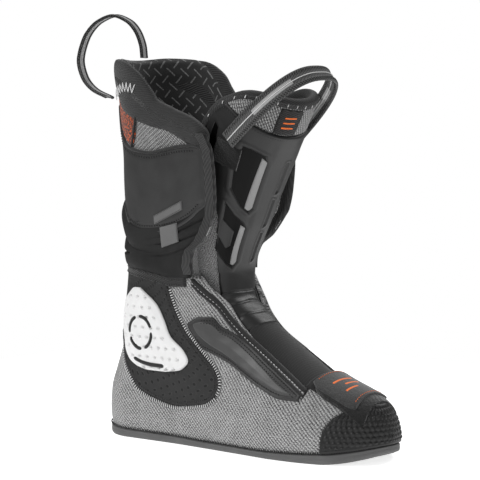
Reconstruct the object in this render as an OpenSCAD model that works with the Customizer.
/* [Foot] */
// X of the toe tip, forward of the mid-foot origin
toe_tip = 141.5; // [136:0.5:146]
// Thickness of the knit-faced foam wall round the foot
foot_wall = 4.8; // [3.5:0.1:5]
// Thickness of the linings inside the foot and the cuff
lining = 1.2; // [0.8:0.1:1.4]

/* [Sole] */
// Thickness of the insole board under the foot
board = 2; // [1:0.5:3]
// Thickness of the loose footbed on the board
footbed_t = 4; // [2:0.5:5]
// How far the outsole stands proud of the upper
sole_lip = 1; // [0.5:0.1:2]

/* [Cuff] */
// Thickness of the knit-faced foam wall round the leg
cuff_wall = 4.6; // [4:0.1:4.8]
// Height of the padded roll round the collar
roll_h = 17; // [12:1:20]
// Thickness of the smooth overlays and the sewn-on patches
skin = 1; // [0.6:0.1:1.4]

/* [Tongue] */
// Half the width of the tongue at its top
tongue_half = 43; // [40:0.5:44]
// Length of the straight wing behind each side of the tongue's arch
wing = 22; // [14:1:24]
// Thickness of the tongue's foam
tongue_foam = 6; // [4:0.5:7]
// Thickness of the moulded shield on the tongue
shield_t = 1.8; // [1:0.1:2.4]

/* [Pull loops] */
// Width of the tongue's pull webbing
tongue_web = 15; // [10:1:18]
// Width of the rear pull webbing
rear_web = 13; // [9:1:15]
// Thickness of the webbing
web_t = 2; // [1.5:0.1:2.5]

/* [Hidden] */

gap = 0.8;          // air between two bonded or sewn layers
seam = 0.3;         // half the gap on the centre seams of the foot
lean = 0.01;        // step used to measure a curve's slope

// Side profile: X of the back of the boot at each height
heel_line = [[0, -139], [8, -144], [24, -146], [40, -144.5], [60, -138.5], [82, -131], [104, -127.5],
    [125, -124], [145, -121.5], [165, -119], [195, -121.5], [237, -121.5], [280, -125], [330, -132]];
// How far the back rounds over into the sides, at each height
heel_round = [[0, 34], [40, 36], [100, 37], [145, 40], [195, 46], [240, 50], [330, 54]];
// Half the width of the heel and the leg at each height
leg_half = [[0, 34], [30, 36], [70, 36], [100, 38.5], [130, 38.5], [160, 42], [195, 47], [240, 52],
    [280, 55], [330, 57]];
// Half the width of the foot at each X, from the heel to the ball
foot_half = [[-110, 35], [-60, 37], [-20, 41], [20, 46], [60, 50.5], [80, 50]];
// Height of the top of the foot at each X: up the instep, then down to the toe
instep_line = [[-60, 330], [-40, 215], [-20, 160], [-6, 134], [7, 118], [17, 108], [38.5, 92],
    [56.5, 79.5], [72.5, 69.5], [88, 62], [110, 54.5], [123, 50.5], [132, 45.5], [137.5, 38],
    [141.5, 22]];
// X of the front of the toe at each height
toe_line = [[8, 141.5], [22, 141.5], [38, 137.5], [45.5, 132], [50.5, 123]];
// Height of the top face of the outsole at each X
sole_line = [[-147, 10.5], [-128, 8.5], [-105, 7.2], [-60, 7], [-16, 6], [31, 6], [75, 7.1],
    [103, 8.7], [125, 11.5], [142.5, 15]];
// Height of the bottom face of the outsole: flat, with a rise at the heel and the toe
tread_line = [[-147, 3.5], [-132, 0], [102, 0], [116, 1.2], [130, 4.2], [143, 8.5]];
// Top edge of the foot: the ankle, then down the edge of the throat
throat_line = [[-124, 151.5], [-89, 148.5], [-72, 145.5], [-56, 143], [-38, 144], [-26, 134.5],
    [-12, 123], [-1.6, 110.5], [13, 97.4], [39.6, 80.7], [72, 60.3], [79, 56]];
// Gap left for the ankle to bend, between the foot and the cuff
bend_gap = [[-124, 12], [-105, 9.4], [-89, 7.6], [-76, 5.6], [-65, 4], [-45, 6.8], [-38, 9], [2, 11]];
// X of the front edge of the cuff at each height
flap_line = [[141, -29], [153, -30], [165, -26.5], [175, -15], [190, -4.5], [197, -0.5], [213, 2],
    [230, 2.5], [250, 1], [259, -3], [276, -10]];
// Top of the collar at each X
collar_line = [[-132, 319], [-110, 324], [-90, 323], [-78, 317], [-66, 305], [-52, 292], [-34, 285],
    [-12, 276], [2, 264]];
// Centre line of the front of the tongue: X at each height
tongue_line = [[100, 2], [110, -5], [125, -10], [145, -12], [159, -9], [189, 4], [215, 15],
    [248, 31], [265, 42], [292, 57]];
// Half the width of the tongue at each height
tongue_w = [[100, 17], [112, 20], [125, 24], [145, 28], [159, 30], [189, 34], [215, 37.5],
    [248, 41], [270, tongue_half]];

function rise(c, i) = (c[i + 1][1] - c[i][1]) / (c[i + 1][0] - c[i][0]);
function slope(c, i) =
    i == 0 ? rise(c, 0)
    : i == len(c) - 1 ? rise(c, i - 1)
    : let (a = rise(c, i - 1), b = rise(c, i)) a * b <= 0 ? 0 : 2 * a * b / (a + b);
// Value at x of the smooth curve through the points of c
function curve(c, x) =
    let (
        k = min(max(x, c[0][0]), c[len(c) - 1][0]),
        i = max([for (n = [0:len(c) - 2]) if (c[n][0] <= k) n]),
        h = c[i + 1][0] - c[i][0],
        t = (k - c[i][0]) / h
    )
    (2 * t ^ 3 - 3 * t ^ 2 + 1) * c[i][1] + (t ^ 3 - 2 * t ^ 2 + t) * h * slope(c, i)
    + (3 * t ^ 2 - 2 * t ^ 3) * c[i + 1][1] + (t ^ 3 - t ^ 2) * h * slope(c, i + 1);
function clamp(x) = min(max(x, 0), 1);
function ease(a, b, x) = let (t = clamp((x - a) / (b - a))) t * t * (3 - 2 * t);
function unit(v) = v / norm(v);

function back(z) = curve(heel_line, z);
// Share of the full width reached at x, as the back rounds over
function round_over(x, z) = sqrt(1 - (1 - clamp((x - back(z)) / curve(heel_round, z))) ^ 2);
function leg(x, z) = curve(leg_half, z) * round_over(x, z);
function foot_plan(x) =
    x > 60 ? 50.5 * sqrt(clamp(1 - clamp((x - 60) / (toe_tip - 60)) ^ 2.6)) : curve(foot_half, x);
// Half the width of the foot at x and z
function foot(x, z) =
    let (
        top = curve(instep_line, x),
        arch = clamp(1 - clamp(z / top) ^ 2.4) ^ (1 / 2.1) * (1 - 0.07 * clamp(1 - z / 26) ^ 2),
        low = foot_plan(x) * arch,
        high = curve(leg_half, z),
        up = ease(70, 135, z) * ease(25, -45, x)
    )
    (low + (high - low) * up) * round_over(x, z);

// Point of the lateral side of the foot: t runs from heel to toe, v from the sole to the top edge
function foot_at(t, v) =
    let (
        far = (1 - cos(180 * t)) / 2,
        xn = -138 + (toe_tip + 138) * far,
        top = curve(instep_line, xn),
        edge = xn > 79 ? top : min(curve(throat_line, xn), top),
        low = acos((curve(sole_line, xn) + gap) / top),
        high = acos(clamp(edge / top)),
        z = top * cos(low + (high - low) * v),
        x = back(z) + (toe_tip - back(z)) * far
    )
    [x, -max(foot(x, z), seam), z];
// Point of the foot wrapped round the heel: s is -1 medial, 0 at the back, 1 lateral
function heel_at(s, z, front) =
    let (x = back(z) + (front - back(z)) * (1 - cos(90 * s))) [x, -sign(s) * foot(x, z), z];
function leg_at(s, z, front) =
    let (x = back(z) + (front - back(z)) * (1 - cos(90 * s))) [x, -sign(s) * leg(x, z), z];
// Point of the cuff: v runs from the ankle gap to cut below the collar's top
function cuff_at(s, v, edge, cut) =
    let (
        far = 1 - cos(90 * s),
        xn = -121 + 123 * far,
        xl = -121 + 91 * far,
        low = curve(throat_line, min(xl, -38)) + curve(bend_gap, xl),
        z = low + (curve(collar_line, xn) - cut - low) * v
    )
    leg_at(s, z, curve(flap_line, z) - edge);
// Point of the front of the tongue: q is -1 at the lateral wing, 0 in front, 1 at the medial wing
function tongue_at(q, z, bulge = 0) =
    let (
        m = (curve(tongue_line, z + lean) - curve(tongue_line, z - lean)) / (2 * lean),
        n = unit([1, 0, -m]),
        w = curve(tongue_w, z),
        a = 90 * min(abs(q) / 0.75, 1),
        bend = 1.5 - 0.5 * ease(235, 275, z),
        flare = wing * clamp(w / tongue_half) * max(abs(q) - 0.75, 0) * 4,
        deep = 0.84 * w * (1 - cos(a)) ^ bend + flare
    )
    [curve(tongue_line, z), 0, z] - n * deep + [0, sign(q) * w * sin(a), 0];
function tongue_top(q) = 290 - 44 * abs(q) ^ 5;

// Unit normals of a grid of points, pointing out of the boot
function normals(g) = [for (i = [0:len(g) - 1]) [for (j = [0:len(g[0]) - 1])
    unit(cross(g[min(i + 1, len(g) - 1)][j] - g[max(i - 1, 0)][j],
        g[i][min(j + 1, len(g[0]) - 1)] - g[i][max(j - 1, 0)]))]];
function keep_side(p, side) = side ? [p[0], min(p[1], -seam), p[2]] : p;
// Closed sheet over the grid g, from lo to hi above it; side keeps it off the centre plane
module sheet(g, lo, hi, side = false) {
    n = normals(g);
    a = len(g);
    b = len(g[0]);
    pts = [for (h = [lo, hi]) for (i = [0:a - 1]) for (j = [0:b - 1])
        keep_side(g[i][j] + n[i][j] * h, side)];
    function at(h, i, j) = (h * a + i) * b + j;
    function quad(p, q, r, s) = [[p, q, r], [p, r, s]];
    faces = [for (i = [0:a - 2]) for (j = [0:b - 2]) for (f = concat(
            quad(at(1, i, j), at(1, i, j + 1), at(1, i + 1, j + 1), at(1, i + 1, j)),
            quad(at(0, i, j), at(0, i + 1, j), at(0, i + 1, j + 1), at(0, i, j + 1)))) f];
    ends = [for (i = [0:a - 2]) for (f = concat(
            quad(at(0, i, 0), at(1, i, 0), at(1, i + 1, 0), at(0, i + 1, 0)),
            quad(at(0, i, b - 1), at(0, i + 1, b - 1), at(1, i + 1, b - 1), at(1, i, b - 1)))) f];
    sides = [for (j = [0:b - 2]) for (f = concat(
            quad(at(0, 0, j), at(0, 0, j + 1), at(1, 0, j + 1), at(1, 0, j)),
            quad(at(0, a - 1, j), at(1, a - 1, j), at(1, a - 1, j + 1), at(0, a - 1, j + 1)))) f];
    polyhedron(pts, concat(faces, ends, sides), convexity = 10);
}
function steps(a, b, n) = [for (i = [0:n]) a + (b - a) * i / n];
// Grid on the lateral side between a lower and an upper edge line
function side_grid(x0, x1, low, high, nx, nz, on_leg) = [for (x = steps(x0, x1, nx))
    [for (v = steps(0, 1, nz))
        let (z = curve(low, x) + (curve(high, x) - curve(low, x)) * v)
        [x, -(on_leg ? leg(x, z) : foot(x, z)), z]]];
module medial() {
    mirror([0, 1, 0]) children();
}

// Outline of the foot at the sole, moved in by inset
function sole_outline(inset) =
    let (
        side = [for (t = steps(0, 1, 26))
            let (far = (1 - cos(180 * t)) / 2, x = back(9) + (toe_tip - back(9)) * far)
            [x, -foot(x, 9)]],
        ring = concat(side, [for (i = [len(side) - 2:-1:1]) [side[i][0], -side[i][1]]]),
        n = len(ring)
    )
    [for (i = [0:n - 1])
        let (d = unit(ring[(i + 1) % n] - ring[(i + n - 1) % n])) ring[i] + inset * [-d[1], d[0]]];
// Layer of the sole that follows its rise at heel and toe: low and high are added to two lines
module sole_layer(inset, low_line, low, high_line, high) {
    xs = steps(-147, 143, 24);
    profile = concat([for (x = xs) [x, curve(low_line, x) + low]],
        [for (i = [len(xs) - 1:-1:0]) [xs[i], curve(high_line, xs[i]) + high]]);
    intersection() {
        linear_extrude(40) polygon(sole_outline(inset));
        rotate([90, 0, 0]) linear_extrude(140, center = true) polygon(profile);
    }
}
module outsole() {
    color("dimgray") intersection() {
        linear_extrude(40) polygon(sole_outline(-sole_lip));
        rotate([90, 0, 0]) linear_extrude(140, center = true) polygon(concat(
            [for (x = steps(-147, -132, 4)) [x, curve(tread_line, x)]],
            [for (x = steps(102, 143, 8)) [x, curve(tread_line, x)]],
            [for (x = steps(143, -147, 24)) [x, curve(sole_line, x)]]));
    }
}
module insole_board() {
    color("tan") sole_layer(foot_wall + lining + 3 * gap, sole_line, gap / 2, sole_line,
        gap / 2 + board);
}
module footbed() {
    color("slategray") sole_layer(foot_wall + lining + 4.5 * gap, sole_line, board + gap,
        sole_line, board + gap + footbed_t);
}

foot_grid = [for (t = steps(0, 1, 26)) [for (v = steps(0, 1, 7)) foot_at(t, v)]];
module foot_shell_lateral() {
    color("silver") sheet(foot_grid, -foot_wall, 0, true);
}
module foot_shell_medial() {
    medial() foot_shell_lateral();
}
module foot_lining_lateral() {
    color("dimgray") sheet(foot_grid, -foot_wall - gap - lining, -foot_wall - gap, true);
}
module foot_lining_medial() {
    medial() foot_lining_lateral();
}

toe_edge = [[9, 103], [26, 104], [35, 108], [41, 116], [44, 123], [47, 129]];
module toe_cap() {
    g = [for (a = steps(-90, 90, 16)) [for (v = steps(0, 1, 5))
        let (
            x0 = curve(toe_edge, 9 + 37 * v),
            z = curve(sole_line, x0 + (toe_tip - x0) * cos(a)) * (1 - v) + 46 * v + 0.4,
            x = x0 + (curve(toe_line, z) - 0.3 - x0) * cos(a)
        )
        [x, sign(a) * foot(x, z), z]]];
    color("black") sheet(g, gap + 0.5, gap + 0.5 + skin);
}

patch_front = [[33, -22], [39, -13], [46, -6], [54, -3], [60, -4], [67, -8.5], [83, -27], [98, -42],
    [115, -52], [142, -62]];
patch_low = [[-142, 90], [-124, 84], [-117, 70], [-108, 58], [-92, 44], [-68, 37], [-38, 33], [-16, 36]];
module heel_patch() {
    g = [for (s = steps(-1, 1, 22)) [for (v = steps(0, 1, 6))
        let (
            xn = -141 + 125 * (1 - cos(90 * s)),
            low = curve(patch_low, xn),
            top = curve(throat_line, -122 + 60 * (1 - cos(90 * s))) - 10.5,
            z = low + (top - low) * v
        )
        heel_at(s, z, curve(patch_front, z))]];
    color("black") sheet(g, gap, gap + skin);
}

pad_back = [[61, -82], [64, -95], [70, -104], [80, -110], [100, -113], [118, -109], [131, -95]];
pad_front = [[61, -62], [64, -45], [72, -37], [80, -42], [92, -57], [105, -63], [117, -70],
    [131, -88]];
module ankle_pad_lateral() {
    g = [for (u = steps(0, 1, 8)) [for (z = steps(61, 131, 7))
        let (x = curve(pad_back, z) * (1 - u) + curve(pad_front, z) * u) [x, -foot(x, z), z]]];
    color("white") sheet(g, 2 * gap + skin, 2 * gap + 2.2 * skin);
}
module ankle_pad_medial() {
    medial() ankle_pad_lateral();
}

overlay_low = [[-39, 101], [-31, 91], [-24, 84], [-10, 79], [6, 73], [23, 64], [43, 55], [61, 49],
    [77, 48]];
overlay_high = [[-39, 104], [-26, 110], [-15, 110], [-7, 103], [4, 98], [17, 90], [40, 75.5],
    [72, 55.5], [77, 52.5]];
module forefoot_overlay_lateral() {
    color("dimgray") sheet(side_grid(-39, 77, overlay_low, overlay_high, 14, 3, false), gap,
        gap + skin);
}
module forefoot_overlay_medial() {
    medial() forefoot_overlay_lateral();
}
module throat_piping_lateral() {
    low = [for (p = throat_line) [p[0], p[1] - 3.4]];
    color("black") sheet(side_grid(-37, 77, low, throat_line, 12, 1, false), gap, gap + skin);
}
module throat_piping_medial() {
    medial() throat_piping_lateral();
}
module ankle_band() {
    g = [for (s = steps(-1, 1, 18)) [for (v = [0, 1])
        let (xn = -122 + 83 * (1 - cos(90 * s)), z = curve(throat_line, xn) - 9.5 + 9 * v)
        heel_at(s, z, -39)]];
    color("dimgray") sheet(g, gap, gap + skin);
}
module instep_elastic() {
    g = [for (x = steps(15, 68, 8)) [for (s = steps(-1, 1, 6))
        let (
            top = curve(instep_line, x),
            low = foot(x, curve(throat_line, x)) - 4.5,
            y = s * low,
            z = top * (1 - clamp(abs(y) / foot_plan(x)) ^ 2.1) ^ (1 / 2.4)
        )
        [x, y, z]]];
    color("black") sheet(g, -2.2, -0.8);
}
// Grid on top of the toe, x across from the instep side, y from y0 to y1
function toe_grid(x0, x1, y0, y1, corner) = [for (u = steps(0, 1, 6)) [for (s = steps(-1, 1, 5))
    let (
        x = x0 + (x1 - x0) * u,
        half = (y1 - y0) / 2 * (1 - corner * (2 * u - 1) ^ 4),
        y = (y0 + y1) / 2 + s * half,
        z = curve(instep_line, x) * (1 - clamp(abs(y) / foot_plan(x)) ^ 2.1) ^ (1 / 2.4)
    )
    [x, y, z]]];
module toe_tab_backing() {
    color("black") sheet(toe_grid(85, 127, -27, 24, 0.15), 2 * gap + skin, 2 * gap + 1.8 * skin);
}
module toe_tab() {
    color("dimgray") sheet(toe_grid(87, 125, -25, 21, 0.2), 3 * gap + 1.8 * skin,
        3 * gap + 2.8 * skin);
}

// Stretch panel over the ankle's bend, from the seam band up to the cuff's overlays
module ankle_flex() {
    g = [for (s = steps(-1, 1, 18)) [for (v = steps(0, 1, 3))
        let (
            far = 1 - cos(90 * s),
            low = curve(throat_line, -122 + 83 * far) + 0.6,
            z = low + (curve(cuff_low, -117 + 81 * far) - 1.5 - low) * v
        )
        leg_at(s, z, curve(flap_line, z) - 8)]];
    color("black") sheet(g, gap, gap + skin);
}
// Knit gusset in the notch between the cuff's front edge, the throat and the tongue
module gusset_lateral() {
    notch = [[-12, 4], [-22, 15], [-23, 27], [-20, 41], [-9, 50], [-2, 62], [-1, 30], [-7, 9]];
    color("silver") translate([0, -29.4, 127.4]) rotate([90 + 12.5, 0, 0]) linear_extrude(1.2)
        polygon(notch);
}
module gusset_medial() {
    medial() gusset_lateral();
}

cuff_grid = [for (s = steps(-1, 1, 24)) [for (v = steps(0, 1, 8)) cuff_at(s, v, 6, roll_h)]];
module cuff_shell() {
    color("silver") sheet(cuff_grid, -cuff_wall, 0);
}
module cuff_lining() {
    color("dimgray") sheet(cuff_grid, -cuff_wall - gap - lining, -cuff_wall - gap);
}
module collar_roll() {
    g = [for (s = steps(-1, 1, 24)) [for (v = steps(0, 1, 2))
        let (
            xn = -121 + 123 * (1 - cos(90 * s)),
            z = curve(collar_line, xn) - (roll_h - gap) * (1 - v)
        )
        leg_at(s, z, curve(flap_line, z) - 6)]];
    color("dimgray") sheet(g, -cuff_wall - gap - lining, 2);
}
cuff_low = [[-117, 205], [-106, 196], [-96, 184], [-77, 180], [-62, 181], [-45, 185], [-28, 193],
    [-17, 201], [-7, 207]];
cuff_high = [[-117, 285], [-112, 270], [-105, 259], [-97, 252], [-82, 247.5], [-67, 246],
    [-50, 249], [-34, 252], [-18, 253], [-7, 250]];
module cuff_overlay_lateral() {
    color("dimgray") sheet(side_grid(-117, -7, cuff_low, cuff_high, 12, 4, true), gap, gap + skin);
}
module cuff_overlay_medial() {
    medial() cuff_overlay_lateral();
}
module front_binding_lateral() {
    g = [for (e = [5.4, 0]) [for (v = steps(0, 1, 9))
        let (z = 154 + 107 * v, x = curve(flap_line, z) - e) [x, -leg(x, z), z]]];
    color("black") sheet(g, -cuff_wall - 0.4, 1);
}
module front_binding_medial() {
    medial() front_binding_lateral();
}
panel_low = [[-110, 272], [-105, 264], [-98, 257], [-88, 252], [-82, 260]];
panel_high = [[-110, 292], [-100, 288], [-90, 282], [-82, 276]];
module rear_panel_lateral() {
    color("orangered") sheet(side_grid(-110, -82, panel_low, panel_high, 6, 2, true), gap,
        gap + skin);
}
module rear_panel_medial() {
    medial() rear_panel_lateral();
}
module side_label() {
    low = [[-66, 186], [-34, 200]];
    high = [[-66, 194], [-34, 208]];
    color("gray") sheet(side_grid(-66, -34, low, high, 4, 1, true), 2 * gap + skin,
        2 * gap + 1.6 * skin);
}
tab_top = 188;
module size_tab() {
    low = [[-60, tab_top - 21], [-41, tab_top - 15]];
    high = [[-62, tab_top - 4], [-41, tab_top + 1]];
    color("gray") sheet(side_grid(-60, -41, low, high, 3, 2, true), 2 * gap + skin,
        2 * gap + 2 * skin);
}

// Grid on the tongue between two heights that may depend on q
function tongue_grid(q0, q1, nq, nz, low, high) = [for (q = steps(q0, q1, nq))
    [for (v = steps(0, 1, nz)) let (a = low(q), b = high(q)) tongue_at(q, a + (b - a) * v)]];
tongue_body = tongue_grid(-1, 1, 14, 9, function(q) 122 + 8 * q * q,
    function(q) tongue_top(q) - 8);
module tongue_pad() {
    color("dimgray") sheet(tongue_body, -tongue_foam, 0);
}
module tongue_lining() {
    color("black") sheet(tongue_body, -tongue_foam - gap - lining, -tongue_foam - gap);
}
module tongue_binding() {
    g = tongue_grid(-1, 1, 14, 1, function(q) tongue_top(q) - 7.4, function(q) tongue_top(q));
    color("black") sheet(g, -tongue_foam - lining, 1);
}
function shield_top(q) = 261 + 10 * q * q;
module tongue_shield() {
    g = tongue_grid(-0.6, 0.6, 10, 8, function(q) 146, function(q) shield_top(q));
    color("dimgray") sheet(g, gap + 0.3, gap + 0.3 + shield_t);
}
proud = 2 * gap + shield_t;
module shield_windows() {
    color("black") {
        sheet(tongue_grid(-0.52, -0.3, 3, 4, function(q) 206, function(q) 246), proud, proud + 0.8);
        sheet(tongue_grid(-0.5, -0.3, 3, 3, function(q) 160, function(q) 192), proud, proud + 0.8);
        for (z = [156, 186, 214])
            sheet(tongue_grid(0.1, 0.15, 1, 2, function(q) z, function(q) z + 25), proud,
                proud + 0.8);
    }
}
module shield_inserts() {
    color("silver") {
        sheet(tongue_grid(-0.27, -0.18, 1, 4, function(q) 200, function(q) 242), proud,
            proud + 0.8);
        sheet(tongue_grid(-0.27, -0.19, 1, 3, function(q) 153, function(q) 186), proud,
            proud + 0.8);
    }
}
module tongue_knit() {
    g = tongue_grid(-0.6, 0.6, 10, 2, function(q) shield_top(q) + 1.5,
        function(q) tongue_top(q) - 10);
    color("silver") sheet(g, gap, gap + skin);
}
module badge_strip() {
    g = tongue_grid(-0.26, 0, 2, 2, function(q) 264, function(q) 279);
    color("black") sheet(g, 2 * gap + skin, 2 * gap + 1.8 * skin);
}
module hook_patch() {
    g = tongue_grid(-0.8, -0.63, 2, 2, function(q) 229, function(q) 245);
    color("black") sheet(g, gap, gap + skin);
}
module tongue_flex() {
    g = tongue_grid(-0.7, 0.7, 8, 3, function(q) 104, function(q) 119);
    color("black") sheet(g, -3, -1);
}

// Flat webbing along a path, lying across the direction over
module webbing(path, over, width, thick) {
    n = len(path);
    rings = [for (i = [0:n - 1])
        let (
            along = unit(path[min(i + 1, n - 1)] - path[max(i - 1, 0)]),
            w = unit(over - along * (over * along)),
            up = cross(along, w)
        )
        [for (c = [[-1, -1], [1, -1], [1, 1], [-1, 1]])
            path[i] + w * c[0] * width / 2 + up * c[1] * thick / 2]];
    pts = [for (r = rings) for (p = r) p];
    walls = [for (i = [0:n - 2]) for (j = [0:3])
        [i * 4 + j, i * 4 + (j + 1) % 4, (i + 1) * 4 + (j + 1) % 4, (i + 1) * 4 + j]];
    polyhedron(pts, concat([for (f = walls) [f[0], f[2], f[1]]], [for (f = walls) [f[0], f[3], f[2]]],
        [[0, 1, 2], [0, 2, 3], [n * 4 - 1, n * 4 - 2, n * 4 - 3], [n * 4 - 1, n * 4 - 3, n * 4 - 4]]),
        convexity = 10);
}
// Smooth path through points spaced evenly in its parameter
function path_through(p, n) = [for (t = steps(0, len(p) - 1, n)) [for (k = [0:2])
    curve([for (i = [0:len(p) - 1]) [i, p[i][k]]], t)]];

loop_root = [10, 0, 258];       // middle of the line between the tongue loop's two ends
loop_reach = [60, 0, 55];       // from there to the loop's crown
loop_half = 45;
module tongue_loop() {
    path = [for (a = steps(0, 180, 20))
        loop_root + loop_reach * sin(a) ^ 0.85 - [0, loop_half * sign(cos(a)) * abs(cos(a)) ^ 0.75, 0]];
    color("gray") webbing(path, cross(unit(loop_reach), [0, 1, 0]), tongue_web, web_t);
}
rear_path = [[-129, 13, 324.5], [-130, 13, 333], [-133, 11, 345], [-139, 5, 356], [-149, -3, 361],
    [-160, -10, 356], [-170, -16, 342], [-173, -20, 325], [-166, -23, 308], [-153, -24, 297],
    [-137, -24, 291]];
module rear_loop() {
    color("gray") webbing(path_through(rear_path, 26), [0.29, -0.96, 0], rear_web, web_t);
}

outsole();
insole_board();
footbed();
foot_shell_lateral();
foot_shell_medial();
foot_lining_lateral();
foot_lining_medial();
toe_cap();
heel_patch();
ankle_pad_lateral();
ankle_pad_medial();
forefoot_overlay_lateral();
forefoot_overlay_medial();
throat_piping_lateral();
throat_piping_medial();
ankle_band();
instep_elastic();
toe_tab_backing();
toe_tab();
ankle_flex();
gusset_lateral();
gusset_medial();
cuff_shell();
cuff_lining();
collar_roll();
cuff_overlay_lateral();
cuff_overlay_medial();
front_binding_lateral();
front_binding_medial();
rear_panel_lateral();
rear_panel_medial();
side_label();
size_tab();
tongue_pad();
tongue_lining();
tongue_shield();
shield_windows();
shield_inserts();
tongue_knit();
badge_strip();
tongue_binding();
hook_patch();
tongue_flex();
tongue_loop();
rear_loop();
